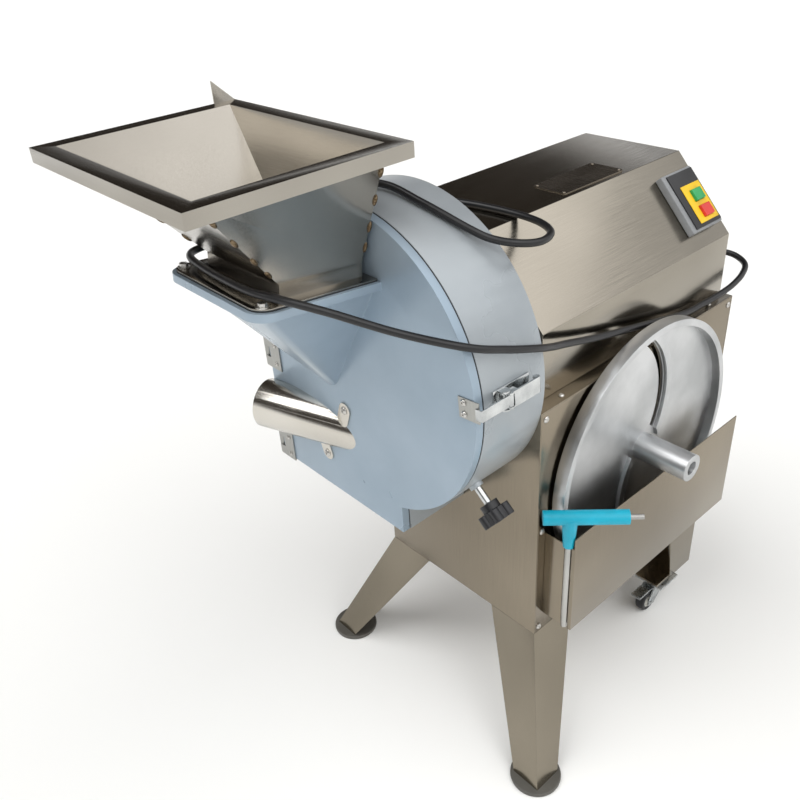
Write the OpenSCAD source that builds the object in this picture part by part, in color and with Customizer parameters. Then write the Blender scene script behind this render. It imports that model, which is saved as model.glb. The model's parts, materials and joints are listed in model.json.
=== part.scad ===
// Vegetable dicer: hopper fed drum with impeller, knife rollers, belt drive and a stainless cabinet.
// X points right seen from the front, Y points to the back, Z up. The floor is z = 0.

/* [Cabinet] */
// Width of the lower cabinet
cab_w = 364; // [350:1:420]
// Depth of the lower cabinet
cab_d = 528; // [510:1:600]
// Height of the cabinet's underside above the floor
cab_z = 250; // [235:1:275]
// Height of the lower cabinet
cab_h = 458; // [440:1:466]
// Thickness of the stainless sheet
sheet = 2; // [1.5:0.5:3]

/* [Hood] */
// Width of the hood
hood_w = 316; // [310:1:330]
// Setback of the hood behind the cabinet's front
hood_inset = 27; // [20:1:40]
// Height of the hood's upright right side
hood_side_h = 111; // [90:1:130]
// Height of the hood
hood_h = 236; // [220:1:280]
// Width of the hood's flat top
hood_top_w = 201; // [180:1:220]

/* [Legs] */
// Sideways and forward splay of the front legs
leg_splay = 101; // [80:1:120]
// Width of a front leg's face at the top
leg_top_w = 100; // [80:1:120]
// Width of a front leg's face at the foot
leg_foot_w = 55; // [45:1:70]
// Thickness of the leg plate
leg_t = 4; // [3:0.5:6]
// Diameter of a foot pad
pad_d = 90; // [80:1:110]
// Thickness of a foot pad
pad_t = 8; // [6:1:12]
// Width of a rear leg's side face at the top
rear_leg_w = 106; // [90:1:120]
// Width of a rear leg's side face at the bottom
rear_leg_foot_w = 74; // [60:1:80]

/* [Casters] */
// Diameter of a caster wheel
wheel_d = 50; // [44:1:56]
// Width of a caster wheel
wheel_w = 20; // [16:1:24]
// Height of the caster's mounting face above the floor
caster_h = 70; // [68:1:80]
// Trail of the wheel behind the swivel axis
caster_trail = 34; // [30:1:40]
// Side of the square caster plate
caster_plate = 64; // [60:1:72]

/* [Drum] */
// Outer radius of the drum
drum_r = 250; // [245:1:258]
// Sideways place of the drum's axis
drum_x = -64; // [-70:1:-58]
// Height of the drum's axis
drum_z = 760; // [755:1:780]
// Depth of the drum casting
drum_depth = 124; // [120:1:140]
// Wall of the drum casting
drum_wall = 10; // [8:1:12]
// Drop of the chute's mouth below the drum's axis
chute_drop = 289; // [282:1:300]
// Reach of the chute's right wall from the drum's axis
chute_side = 82; // [78:1:90]
// Depth of the gear room behind the cutting chamber
gear_room = 28; // [26:1:32]

/* [Cover] */
// Thickness of the cast front cover
cover_t = 14; // [12:1:18]
// Thickness of the rubber seal
seal_t = 2; // [1.5:0.5:3]
// Largest opening angle of the cover
cover_open = 110; // [60:5:115]

/* [Hopper] */
// Width of the hopper's rim
rim_w = 403; // [380:1:430]
// Depth of the hopper's rim
rim_d = 321; // [300:1:340]
// Height of the rim above the floor
rim_z = 1108; // [1090:1:1150]
// Width of the rim's flat border
rim_border = 25; // [20:1:30]
// Width of the inlet flange
flange_w = 232; // [220:1:245]
// Reach of the inlet flange in front of the cover
flange_d = 200; // [185:1:215]
// Thickness of the inlet flange
flange_t = 12; // [10:1:16]
// Height of the flange where it meets the cover
flange_z = 915; // [905:1:922]
// Upward slope of the flange towards the front
flange_tilt = 6; // [3:1:8]
// Height of the hopper's collar
collar_h = 26; // [20:1:34]

/* [Cutting gear] */
// Diameter of the main spindle
spindle_d = 35; // [30:1:38]
// Radius of the impeller
impeller_r = 222; // [210:1:226]
// Number of impeller paddles
paddles = 4; // [3:1:6]
// Diameter of the knife shafts
knife_shaft_d = 20; // [16:1:22]
// Radius of the round strip knives
strip_r = 30; // [26:0.5:30.5]
// Number of strip knives
strip_count = 7; // [5:1:9]
// Radius over the cross cut blades
cross_r = 29; // [26:0.5:30.5]
// Number of cross cut blades
cross_count = 6; // [4:1:8]
// Gear module
gear_m = 3; // [3:0.5:3]
// Teeth of the main gear
main_teeth = 80; // [78:1:82]
// Teeth of the idler gear
idler_teeth = 50; // [50:1:52]
// Teeth of the cross cut pinion
cross_teeth = 24; // [24:1:25]
// Teeth of the strip pinion
strip_teeth = 18; // [17:1:18]
// Face width of the gears
gear_w = 12; // [10:1:14]

/* [Drive] */
// Outer radius of the main pulley
pulley_r = 80; // [70:1:84]
// Outer radius of the motor pulley
motor_pulley_r = 40; // [36:1:50]
// Radius of the motor body
motor_r = 74; // [65:1:75]
// Length of the motor body
motor_len = 240; // [200:1:250]
// Sideways place of the motor's axis
motor_x = 76; // [74:1:90]
// Height of the motor's axis above the cabinet floor
motor_h = 100; // [90:1:120]

/* [Spare disc pocket] */
// Depth of the pocket from the side panel
pocket_x = 60; // [55:1:70]
// Length of the pocket
pocket_len = 480; // [478:1:490]
// Height of the pocket's outer face
pocket_h = 200; // [180:1:215]
// Radius of the spare slicing disc
disc_r = 232; // [222:1:236]
// Thickness of the disc's rim
disc_rim_t = 22; // [18:1:26]
// Diameter of the disc's hub
hub_d = 48; // [44:1:54]
// Bore of the disc's hub
hub_bore = 24; // [20:1:30]
// Length of the disc's hub
hub_len = 104; // [90:1:110]

/* [Tool] */
// Length of the T handle
handle_len = 132; // [110:1:140]
// Thickness of the T handle
handle_d = 24; // [20:1:28]
// Size across the flats of the hexagon key
key_af = 10; // [8:1:11]
// Length of the key below its handle
key_len = 178; // [150:1:178]

/* [Cable] */
// Diameter of the power cord
cord_d = 11; // [9:0.5:12]

/* [Hidden] */
$fn = 64;

// Clearances: shafts in bores, pieces that move past each other, and cuts that run past a face
fit = 0.05;
gap = 0.3;
over = 1;

// Colours
stainless = "#8a8270";
casting = "#9fb1c2";
steel = "#b8bcc0";
black = "#1c1c1e";

// Cabinet and hood places
ledge_z = cab_z + cab_h;
hood_top_z = ledge_z + hood_h;
slope_z = ledge_z + hood_side_h;
slope_run = hood_w - hood_top_w;
slope_rise = hood_h - hood_side_h;
slope_angle = atan2(slope_rise, slope_run);
slope_len = norm([slope_run, slope_rise]);
cab_lip = 20;
screw_r = 5.5;
screw_h = 3;

// Drum places, counted towards the front from the cabinet's front face
back_wall = 10;
partition_t = 6;
chamber_back = -(back_wall + gear_room + partition_t);
drum_front = -drum_depth;
cover_back = drum_front - seal_t;
cover_front = cover_back - cover_t;
chute_left = drum_x - drum_r;
chute_right = drum_x + chute_side;
chute_z = drum_z - chute_drop;
cover_edge = 0.5;
spindle_r = spindle_d / 2;
nose_r = spindle_r + 12;

// Case ring round the impeller, the slicing knife on it and the gate before it
case_r = drum_r - drum_wall;
ring_in = case_r - 4;
ring_out = case_r + 4;
ring_end = 283;
knife_t = 3;
knife_tip = 290;
knife_root = 270;
gate_t = 4;
gate_r = case_r - 1;
gate_end = 291.5;
gate_pivot_angle = -8;
gate_pivot_r = case_r - 7;
gate_barrel_r = 6;
gate_pin_r = 3;
knob_angle = -40;
knob_y = -84;
screw_rod_r = 6;
knob_start = drum_r + 34;
blade_front = drum_front + 4;
blade_back = chamber_back - 3;

// Knife rollers and gears: the strip pinion is placed first, and the train runs back to the spindle
knife_r = knife_shaft_d / 2;
pitch_main = gear_m * main_teeth / 2;
pitch_idler = gear_m * idler_teeth / 2;
pitch_cross = gear_m * cross_teeth / 2;
pitch_strip = gear_m * strip_teeth / 2;
strip_x = drum_x - 137;
strip_z = drum_z - 248;
roller_angle = 160;
cross_x = strip_x + (pitch_strip + pitch_cross) * cos(roller_angle);
cross_z = strip_z + (pitch_strip + pitch_cross) * sin(roller_angle);
// Idler centre where its two centre distances meet, on the side away from the strip pinion
train_d = norm([cross_x - drum_x, cross_z - drum_z]);
main_to_idler = pitch_main + pitch_idler;
idler_to_cross = pitch_idler + pitch_cross;
along = (main_to_idler ^ 2 - idler_to_cross ^ 2 + train_d ^ 2) / (2 * train_d);
aside = sqrt(max(main_to_idler ^ 2 - along ^ 2, 0));
train_dir = [(cross_x - drum_x) / train_d, (cross_z - drum_z) / train_d];
idler_x = drum_x + along * train_dir[0] + aside * train_dir[1];
idler_z = drum_z + along * train_dir[1] - aside * train_dir[0];
// Direction from one gear to the next, and the turn that puts a gap of the next gear on a tooth
function heading(x0, z0, x1, z1) = atan2(z1 - z0, x1 - x0);
function meshed(turn, teeth, toward, next_teeth) =
  toward + 180 - (180 - teeth * (toward - turn)) / next_teeth;
idler_turn = meshed(0, main_teeth, heading(drum_x, drum_z, idler_x, idler_z), idler_teeth);
cross_turn = meshed(idler_turn, idler_teeth, heading(idler_x, idler_z, cross_x, cross_z), cross_teeth);
strip_turn = meshed(cross_turn, cross_teeth, heading(cross_x, cross_z, strip_x, strip_z), strip_teeth);
gear_front = -(back_wall + gear_room - 4);
bush_r = knife_r + 5;

// Bearing tube and belt drive
tube_r = 42;
tube_bore = 36;
tube_len = 262;
bearing_w = 18;
stand_y = 180;
stand_t = 12;
belt_y = tube_len + 56;
belt_w = 10;
belt_h = 8;
pulley_w = 40;
groove_gap = 16;
spindle_end = belt_y + pulley_w + 6;
motor_z = cab_z + sheet + motor_h;
motor_end = belt_y - 18;
motor_shaft_r = 12;

// Inlet flange and hopper
flange_x = -222;
flange_corner = 30;
flange_lip = 14;
throat_wall = 8;
mouth_lip = 6;
throat_tip_r = 26;
throat_tip_x = -142;
throat_tip_z = 718;
gasket_t = 2;
base_edge = 6;
base_back = 1;
collar_x = 32;
collar_w = 174;
collar_back = 12;
collar_d = 136;
rim_x = -341;
rim_y = -434;
rim_lip = 20;
tab_len = 37;
tab_h = 33;

// Half tube guard on the cover
guard_r = 44;
guard_t = 2;
guard_z = 600;
guard_x = -302;
guard_proud = 27;
guard_lean = 19;
guard_len = 260;
ear_r = 13;
ear_t = 3;
ear_places = [[-106, 657], [-168, 543]];

// Cover hinges
hinge_zs = [drum_z - 70, drum_z - 262];
hinge_h = 60;
hinge_x = chute_left - 8;
hinge_y = cover_front + 4;
knuckle_r = 6.5;
leaf_t = 2.5;
hinge_pin_r = 3;

// Toggle latch, in a frame on the drum's right side with x outwards
latch_angle = 4.8;
latch_pivot = [8, -92];
hook_pivot = [15, -88];
latch_pin_r = 2.5;
hook_pin_r = 2;
latch_w = 32;

// Switch on the hood's slope
switch_y = 424;
switch_w = 86;
switch_len = 110;
switch_up = 26;
switch_h = 14;
face_t = 2.5;
plate_t = 1.2;
button_w = 26;
button_h = 21;
button_travel = 3;
button_proud = 5;
button_ups = [84, 54];
button_y = switch_y + 56;
pocket_deep = 9;

// Pocket, disc and key on the right side
side_x = cab_w / 2;
pocket_y = 20;
pocket_z = 290;
pocket_out = side_x + pocket_x;
pocket_end = pocket_y + pocket_len;
disc_play = 8;
rear_lip_h = 40;
disc_y = pocket_y + disc_play + disc_r;
disc_z = pocket_z + sheet + gap + disc_r;
disc_x = side_x + 5;
web_t = 6;
disc_rim_w = 12;
blade_arc = 150;
key_x = pocket_out - 14;
key_y = pocket_y + sheet / 2;
slot_w = 14;
notch = 20;
key_seat_z = pocket_z + pocket_h - notch;
handle_z = key_seat_z + 58;
handle_back = 42;
stem_top_r = 13;
stem_foot_r = 9;
key_bottom = key_seat_z - key_len;

// Casters
caster_x = 158;
caster_y = 440;
plate_t4 = 4;
head_h = 6;
fork_t = 3;
fork_in = wheel_w / 2 + 1.5;
axle_r = 4;
pedal_pin_r = 3;
pedal_y = -14;
pedal_z = caster_h - 20;
pedal_len = 62;

// Power cord: gland on the hood's back, then the points the cord lies along to its plug
gland_x = 82;
gland_z = 748;
gland_len = 28;
plug_len = 62;
cord_sides = 10;
cord_route = [
  [82, cab_d + gland_len, 748], [82, 576, 748], [95, 607, 746], [126, 620, 742], [157, 607, 736],
  [170, 576, 729], [174, 535, 722], [173, 490, 718.5], [170, 440, 717], [170, 385, 721], [171, 252, 750],
  [172, 145, 774], [175, 60, 798], [182, 20, 812], [190, -26, 831], [185, -85, 852], [173, -140, 873],
  [113, -200, 896], [56, -263, 930], [14, -306, 951], [-38, -320, 953], [-150, -316, 951],
  [-212, -300, 949], [-233, -252, 945], [-236, -205, 945], [-236, -165, 952], [-226, -135, 967],
  [-198, -109, 983], [-152, -87, 1004.5], [-61, -67, 1019], [12, -60, 1006], [76, -36, 977],
  [104, -18, 963], [131, 8, 956], [141, 40, 952], [128, 74, 951], [92, 94, 951], [40, 100, 950.5],
  [-30, 93, 950.5], [-95, 74, 950.5]];

// The origin lies on the floor under the middle of the whole machine
key_tip_x = key_x + (handle_len - handle_back + 22) * cos(45);
origin_x = (rim_x + key_tip_x) / 2;
origin_y = (rim_y + cab_d) / 2;

module placed() translate([-origin_x, -origin_y, 0]) children();

// An outline in X and Z, swept from y towards the front
module from_front(y, depth) translate([0, y, 0]) rotate([90, 0, 0]) linear_extrude(depth) children();

// An outline in Y and Z, swept from x to the right
module from_side(x, width) translate([x, 0, 0]) rotate([90, 0, 90]) linear_extrude(width) children();

// A cylinder along Y from y towards the back
module rod_y(x, y, z, r, len) translate([x, y, z]) rotate([-90, 0, 0]) cylinder(r = r, h = len);

// A cylinder along X from x to the right
module rod_x(x, y, z, r, len) translate([x, y, z]) rotate([0, 90, 0]) cylinder(r = r, h = len);

// A box from its low corner to its high corner
module box(low, high) translate(low) cube(high - low);

module both_sides() {
  children();
  mirror([1, 0, 0]) children();
}

// Domed screw head along +Z with a driver recess
module screw_head(r = screw_r, h = screw_h) {
  difference() {
    union() {
      cylinder(r = r, h = h * 0.4);
      translate([0, 0, h * 0.4]) cylinder(r1 = r, r2 = r * 0.6, h = h * 0.6);
    }
    translate([0, 0, h * 0.5]) cylinder(r = r * 0.35, h = h, $fn = 6);
  }
}

// Hexagon bolt head with its washer, along +Z
module bolt_head(r = 8, h = 6) {
  cylinder(r = r * 1.35, h = 1.5);
  translate([0, 0, 1.5]) cylinder(r = r, h = h, $fn = 6);
}

// Frames that follow the tilted inlet flange, the hood's slope and the drum's right side
module on_flange() translate([0, cover_front, flange_z]) rotate([-flange_tilt, 0, 0]) children();
module on_slope() translate([hood_w / 2, 0, slope_z]) rotate([0, slope_angle, 0]) children();
module on_drum_side() translate([drum_x, 0, drum_z]) rotate([0, -latch_angle, 0])
  translate([drum_r, 0, 0]) children();

// Lower cabinet: front, left side, floor, ledge and the return lips that carry the panels
module cabinet_body() color(stainless) placed() {
  half = cab_w / 2;
  open_half = hood_w / 2 - cab_lip;
  box([-half, 0, cab_z], [half, sheet, ledge_z]);
  box([-half, sheet, cab_z], [-half + sheet, cab_d - sheet, ledge_z - sheet]);
  box([-half + sheet, sheet, cab_z], [half - sheet, cab_d - sheet, cab_z + sheet]);
  difference() {
    box([-half, sheet, ledge_z - sheet], [half, cab_d, ledge_z]);
    box([-open_half, hood_inset + cab_lip, ledge_z - sheet - over],
      [open_half, cab_d - cab_lip, ledge_z + over]);
  }
  for (y = [sheet, cab_d - sheet - cab_lip])
    box([half - 2 * sheet, y, cab_z + sheet], [half - sheet, y + cab_lip, ledge_z - sheet]);
}

module side_panel() color(stainless) placed()
  box([side_x - sheet, sheet, cab_z], [side_x, cab_d - sheet, ledge_z - sheet]);

module rear_panel() color(stainless) placed() difference() {
  box([-cab_w / 2, cab_d - sheet, cab_z], [cab_w / 2, cab_d, ledge_z - sheet]);
  for (i = [-4 : 4], z = [cab_z + 90, cab_z + 130])
    box([i * 26 - 3, cab_d - sheet - over, z], [i * 26 + 3, cab_d + over, z + 30]);
}

// Outline of the hood, drawn in by one wall thickness where asked
module hood_outline(inset = 0) {
  half = hood_w / 2 - inset;
  top = hood_top_z - inset;
  polygon([[-half, ledge_z - (inset > 0 ? over : 0)], [half, ledge_z - (inset > 0 ? over : 0)],
    [half, slope_z - inset * (1 / cos(slope_angle) - tan(slope_angle))],
    [-hood_w / 2 + hood_top_w - inset * tan(slope_angle / 2), top], [-half, top]]);
}

module hood() color(stainless) placed() difference() {
  from_front(cab_d, cab_d - hood_inset) hood_outline();
  from_front(cab_d - sheet, cab_d - hood_inset - 2 * sheet) hood_outline(sheet);
  rod_y(drum_x, hood_inset - over, drum_z, tube_r + 2, sheet + 2 * over);
}

// Domed screws on the side panel, the ledge and the pocket's lips
module panel_screws() color(steel) placed() {
  for (z = [cab_z + 12, cab_z + 228, ledge_z - 14], y = [11, cab_d - 12])
    translate([side_x, y, z]) rotate([0, 90, 0]) screw_head();
  for (y = [60, cab_d - 60])
    translate([side_x - 12, y, ledge_z]) screw_head(4.5, 2.5);
}

// Folded and tapered front leg with its top plate, drawn for the right side
module front_leg() {
  c = cab_w / 2;
  w = c - leg_top_w;
  foot_x = c + leg_splay * (1 - pad_t / cab_z);
  foot_y = -leg_splay * (1 - pad_t / cab_z);
  faces = [[0, 1, 2, 3], [4, 7, 6, 5], [0, 4, 5, 1], [1, 5, 6, 2], [2, 6, 7, 3], [3, 7, 4, 0]];
  polyhedron([[w, 0, cab_z], [c, 0, cab_z], [foot_x, foot_y, pad_t], [foot_x - leg_foot_w, foot_y, pad_t],
    [w, leg_t, cab_z], [c, leg_t, cab_z], [foot_x, foot_y + leg_t, pad_t],
    [foot_x - leg_foot_w, foot_y + leg_t, pad_t]], faces);
  polyhedron([[c, 0, cab_z], [c, leg_top_w, cab_z], [foot_x, foot_y + leg_foot_w, pad_t],
    [foot_x, foot_y, pad_t], [c - leg_t, 0, cab_z], [c - leg_t, leg_top_w, cab_z],
    [foot_x - leg_t, foot_y + leg_foot_w, pad_t], [foot_x - leg_t, foot_y, pad_t]], faces);
  box([w, leg_t / 2, cab_z - leg_t], [c - leg_t / 2, leg_top_w, cab_z]);
}

module front_legs() color(stainless) placed() both_sides() front_leg();

module foot_pads() color(black) placed() both_sides() {
  x = cab_w / 2 + leg_splay - leg_foot_w / 2 - 2;
  y = -leg_splay + leg_foot_w / 2 + 2;
  translate([x, y, 0]) cylinder(d = pad_d, h = pad_t);
}

// Upright rear leg: a folded angle with a foot plate that carries the caster
module rear_leg() {
  c = cab_w / 2;
  top = cab_z;
  foot = caster_h;
  from_side(c - leg_t, leg_t) polygon([[cab_d - rear_leg_w, top], [cab_d, top], [cab_d, foot],
    [cab_d - rear_leg_foot_w, foot]]);
  from_front(cab_d, leg_t) polygon([[c - rear_leg_w, top], [c, top], [c, foot],
    [c - rear_leg_foot_w, foot]]);
  box([caster_x - caster_plate / 2, caster_y - caster_plate / 2, foot],
    [c - leg_t / 2, cab_d - leg_t / 2, foot + leg_t]);
}

module rear_legs() color(stainless) placed() both_sides() rear_leg();

module caster_plates() color(steel) placed() both_sides() translate([caster_x, caster_y, 0]) {
  half = caster_plate / 2;
  box([-half, -half, caster_h - plate_t4], [half, half, caster_h]);
  translate([0, 0, caster_h - plate_t4 - head_h - 3]) cylinder(r = 7, h = head_h + 4);
  for (x = [-1, 1], y = [-1, 1])
    translate([x * (half - 8), y * (half - 8), caster_h - plate_t4]) mirror([0, 0, 1]) bolt_head(4.5, 3);
}

// Folded pocket: lips on the side panel, end walls, floor, outer face and the slot for the key
module disc_pocket() color(stainless) placed() difference() {
  z1 = pocket_z + pocket_h;
  union() {
    box([side_x, pocket_y, pocket_z], [pocket_out, pocket_y + sheet, z1]);
    box([side_x, pocket_end - sheet, pocket_z], [pocket_out, pocket_end, pocket_z + rear_lip_h]);
    box([pocket_out - sheet, pocket_y, pocket_z], [pocket_out, pocket_end, z1]);
    box([side_x, pocket_y, pocket_z], [pocket_out, pocket_end, pocket_z + sheet]);
  }
  box([key_x - slot_w / 2, pocket_y - over, pocket_z - over], [key_x + slot_w / 2, pocket_y + 3 * slot_w / 4,
    z1 + over]);
  box([side_x - over, pocket_y - over, z1 - notch], [pocket_out - sheet, pocket_y + sheet + gap, z1 + over]);
}

// Outline of the drum and its chute, drawn in all round by inset
module drum_outline(inset = 0) {
  translate([drum_x, drum_z]) circle(r = drum_r - inset, $fn = 128);
  translate([chute_left + inset, chute_z + inset])
    square([chute_right - chute_left - 2 * inset, drum_z - chute_z - inset]);
}

// Cutting chamber, open at the chute's mouth
module chamber_outline() {
  translate([drum_x, drum_z]) circle(r = case_r, $fn = 128);
  translate([chute_left + drum_wall, chute_z - over])
    square([chute_right - chute_left - 2 * drum_wall, drum_z - chute_z + over]);
}

// Ring sector about the drum's axis, between two radii and two angles
module ring_sector(r0, r1, a0, a1) translate([drum_x, drum_z]) intersection() {
  difference() {
    circle(r = r1, $fn = 128);
    circle(r = r0, $fn = 128);
  }
  reach = 2 * r1;
  mid = (a0 + a1) / 2;
  polygon([[0, 0], reach * [cos(a0), sin(a0)], reach * [cos(mid), sin(mid)], reach * [cos(a1), sin(a1)]]);
}

function on_drum(r, a) = [drum_x + r * cos(a), drum_z + r * sin(a)];

// Cast drum: back wall, gear room, partition, cutting chamber, case ring and the gate's pin
module drum_housing() color(casting) placed() {
  pin = on_drum(gate_pivot_r, gate_pivot_angle);
  difference() {
    from_front(0, drum_depth) drum_outline();
    from_front(chamber_back, drum_depth) chamber_outline();
    from_front(-back_wall, gear_room) drum_outline(drum_wall);
    rod_y(drum_x, chamber_back - over, drum_z, spindle_r + 2, -chamber_back + 2 * over);
    for (p = [[strip_x, strip_z], [cross_x, cross_z]])
      rod_y(p[0], chamber_back - over, p[1], bush_r + fit, -chamber_back + 2 * over);
    translate([drum_x, knob_y, drum_z]) rotate([0, 90 - knob_angle, 0])
      translate([0, 0, case_r - 5]) cylinder(r = screw_rod_r + fit, h = drum_wall + 10);
  }
  from_front(chamber_back + over, chamber_back - drum_front + over)
    ring_sector(ring_in, ring_out, 180, ring_end);
  rod_y(pin[0], blade_front + 2, pin[1], gate_pin_r, chamber_back - blade_front - 2 + over);
  translate([drum_x, knob_y, drum_z]) rotate([0, 90 - knob_angle, 0]) difference() {
    translate([0, 0, drum_r - 1.5]) cylinder(r = screw_rod_r + 5, h = 7.5);
    translate([0, 0, drum_r - 5]) cylinder(r = screw_rod_r + fit, h = 20);
  }
}

// One butt hinge about Z: the middle knuckle with its pin, and the leaf on the drum's side
module drum_hinge() {
  third = hinge_h / 3;
  translate([hinge_x, hinge_y, -third / 2 + gap]) cylinder(r = knuckle_r, h = third - 2 * gap);
  translate([hinge_x, hinge_y, -hinge_h / 2]) cylinder(r = hinge_pin_r, h = hinge_h);
  box([chute_left - leaf_t, hinge_y, -third / 2 + gap], [chute_left, cover_back + 10, third / 2 - gap]);
  box([chute_left - leaf_t, cover_back + 8, -hinge_h / 2], [chute_left, cover_back + 42, hinge_h / 2]);
}

module drum_hinges() color(steel) placed() for (z = hinge_zs) translate([0, 0, z]) drum_hinge();

// The outer knuckles and the leaf on the cover's front face
module cover_hinge() difference() {
  third = hinge_h / 3;
  union() {
    for (z = [-hinge_h / 2, third / 2 + gap])
      translate([hinge_x, hinge_y, z]) cylinder(r = knuckle_r, h = third - gap);
    for (z = [-hinge_h / 2, third / 2 + gap])
      box([hinge_x, cover_front - leaf_t, z], [chute_left + 8, cover_front, z + third - gap]);
    box([chute_left + 6, cover_front - leaf_t, -hinge_h / 2], [chute_left + 34, cover_front, hinge_h / 2]);
  }
  translate([hinge_x, hinge_y, -hinge_h]) cylinder(r = hinge_pin_r + fit, h = 2 * hinge_h);
}

module cover_hinges() color(steel) placed() for (z = hinge_zs) translate([0, 0, z]) cover_hinge();

// Latch base: plate on the drum, two ears and the lever's pin
module latch_base() color(steel) placed() on_drum_side() {
  half = latch_w / 2;
  box([fit, -108, -half], [2.5, -36, half]);
  for (s = [-1, 1]) translate([0, 0, s * 13.6 - 1.2]) {
    box([fit, -100, 0], [latch_pivot[0], -84, 2.4]);
    translate([latch_pivot[0], latch_pivot[1], 0]) cylinder(r = 8, h = 2.4);
  }
  translate([latch_pivot[0], latch_pivot[1], -14]) cylinder(r = latch_pin_r, h = 28);
}

// Lever: cheeks on the base pin, the plate that lies along the drum and its rolled tip
module latch_lever() color(steel) placed() on_drum_side() difference() {
  union() {
    for (s = [-1, 1]) translate([0, 0, s * 10.5 - 1.5]) {
      translate([latch_pivot[0], latch_pivot[1], 0]) cylinder(r = 5, h = 3);
      translate([hook_pivot[0], hook_pivot[1], 0]) cylinder(r = 4.5, h = 3);
      box([latch_pivot[0] - 1, latch_pivot[1], 0], [hook_pivot[0] + 3, -74, 3]);
    }
    box([15.5, -83, -12], [18, -34, 12]);
    translate([13, -33, -12]) cylinder(r = 5, h = 24);
  }
  translate([latch_pivot[0], latch_pivot[1], -20]) cylinder(r = latch_pin_r + fit, h = 40);
  translate([hook_pivot[0], hook_pivot[1], -20]) cylinder(r = hook_pin_r + fit, h = 40);
}

// Hook: roll with its pin, plate over the drum's edge and the lip in front of the keeper
module latch_hook() color(steel) placed() on_drum_side() {
  lip_y = cover_front - sheet;
  translate([hook_pivot[0], hook_pivot[1], -8.6]) cylinder(r = 4, h = 17.2);
  translate([hook_pivot[0], hook_pivot[1], -12]) cylinder(r = hook_pin_r, h = 24);
  box([14, lip_y - 3, -8.6], [16.5, hook_pivot[1], 8.6]);
  box([4, lip_y - 3, -8.6], [16.5, lip_y - gap, 8.6]);
}

// Keeper plate on the cover's front face, reaching past the rim
module latch_keeper() color(steel) placed() on_drum_side() {
  half = latch_w / 2;
  box([-30, cover_front - sheet, -half], [8, cover_front, half]);
}

// Switch housing on the slope with wells for the two buttons
module switch_box() color("#8d9091") placed() on_slope() difference() {
  box([-switch_up - switch_len, switch_y, 0], [-switch_up, switch_y + switch_w, switch_h]);
  for (u = button_ups) button_well(u, switch_h - pocket_deep, 30);
}

module button_well(u, z0, h) box([-u - button_h / 2 - gap, button_y - button_w / 2 - gap, z0],
  [-u + button_h / 2 + gap, button_y + button_w / 2 + gap, z0 + h]);

module switch_face() color(black) placed() on_slope() difference() {
  box([-switch_up - switch_len + 4, switch_y + 10, switch_h],
    [-switch_up - 4, switch_y + switch_w - 2, switch_h + face_t]);
  for (u = button_ups) button_well(u, switch_h - over, 20);
}

module switch_plate() color("#f2c400") placed() on_slope() difference() {
  box([-switch_up - 80, switch_y + 26, switch_h + face_t],
    [-switch_up - 10, switch_y + switch_w - 6, switch_h + face_t + plate_t]);
  for (u = button_ups) button_well(u, switch_h - over, 20);
}

module button(u) on_slope() {
  top = switch_h + face_t + plate_t + button_proud;
  box([-u - button_h / 2, button_y - button_w / 2, switch_h - pocket_deep + button_travel + gap],
    [-u + button_h / 2, button_y + button_w / 2, top]);
}

module start_button() color("#1f9a4c") placed() button(button_ups[0]);
module stop_button() color("#c8242b") placed() button(button_ups[1]);

module slicing_knife() color(steel) placed() difference() {
  from_front(blade_back, blade_back - blade_front)
    ring_sector(ring_in - fit - knife_t, ring_in - fit, knife_root, knife_tip);
  translate([drum_x, 0, drum_z]) rotate([0, 90 - knife_tip, 0])
    translate([-3.2, blade_front - over, ring_in - knife_t - 2]) rotate([0, 25, 0])
      cube([14, blade_back - blade_front + 2 * over, 3]);
}

// Saddle plate from the cabinet floor up to the bearing tube
module bearing_stand() color("#4a5560") placed() difference() {
  from_front(stand_y + stand_t, stand_t) polygon([[drum_x - 60, cab_z + sheet], [drum_x + 60, cab_z + sheet],
    [drum_x + 52, drum_z - 4], [drum_x - 52, drum_z - 4]]);
  rod_y(drum_x, stand_y - over, drum_z, tube_r + gap, stand_t + 2 * over);
}

module bearing_housing() color("#4a5560") placed() difference() {
  rod_y(drum_x, 0, drum_z, tube_r, tube_len);
  rod_y(drum_x, -over, drum_z, tube_bore, tube_len + 2 * over);
}

module spindle_bearings() color(steel) placed() for (y = [14, tube_len - 14 - bearing_w]) difference() {
  rod_y(drum_x, y, drum_z, tube_bore - fit, bearing_w);
  rod_y(drum_x, y - over, drum_z, spindle_r + fit, bearing_w + 2 * over);
}

// Foot mounted motor with fan cowl, end shield, cooling ribs, feet and terminal box
module motor() color("#4a5560") placed() difference() {
  y0 = motor_end - motor_len;
  cowl = 45;
  shield = 18;
  union() {
    from_front(motor_end - shield + over, motor_len - cowl - shield + 2 * over)
      translate([motor_x, motor_z]) {
        circle(r = motor_r - 9);
        for (a = [10 : 20 : 350]) rotate(a) translate([0, -1.5]) square([motor_r - 3, 3]);
      }
    rod_y(motor_x, y0, motor_z, motor_r, cowl);
    rod_y(motor_x, motor_end - shield, motor_z, motor_r - 1, shield);
    box([motor_x - 66, y0 + 70, cab_z + sheet], [motor_x + 66, motor_end - 40, cab_z + sheet + 12]);
    box([motor_x - 46, y0 + 80, cab_z + sheet + over],
      [motor_x + 46, motor_end - 50, motor_z - motor_r / 2]);
    box([motor_x - 32, y0 + 70, motor_z], [motor_x + 32, y0 + 150, motor_z + motor_r + 26]);
  }
  rod_y(motor_x, motor_end - 45, motor_z, motor_shaft_r + fit, 60);
}

module race(r0, r1) hull() {
  translate([drum_x, drum_z]) circle(r = r0, $fn = 64);
  translate([motor_x, motor_z]) circle(r = r1, $fn = 48);
}

module v_belts() color(black) placed() for (i = [0, 1])
  from_front(belt_y + groove_y(i) + belt_w / 2, belt_w) difference() {
    race(pulley_r, motor_pulley_r);
    race(pulley_r - belt_h, motor_pulley_r - belt_h);
  }

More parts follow.
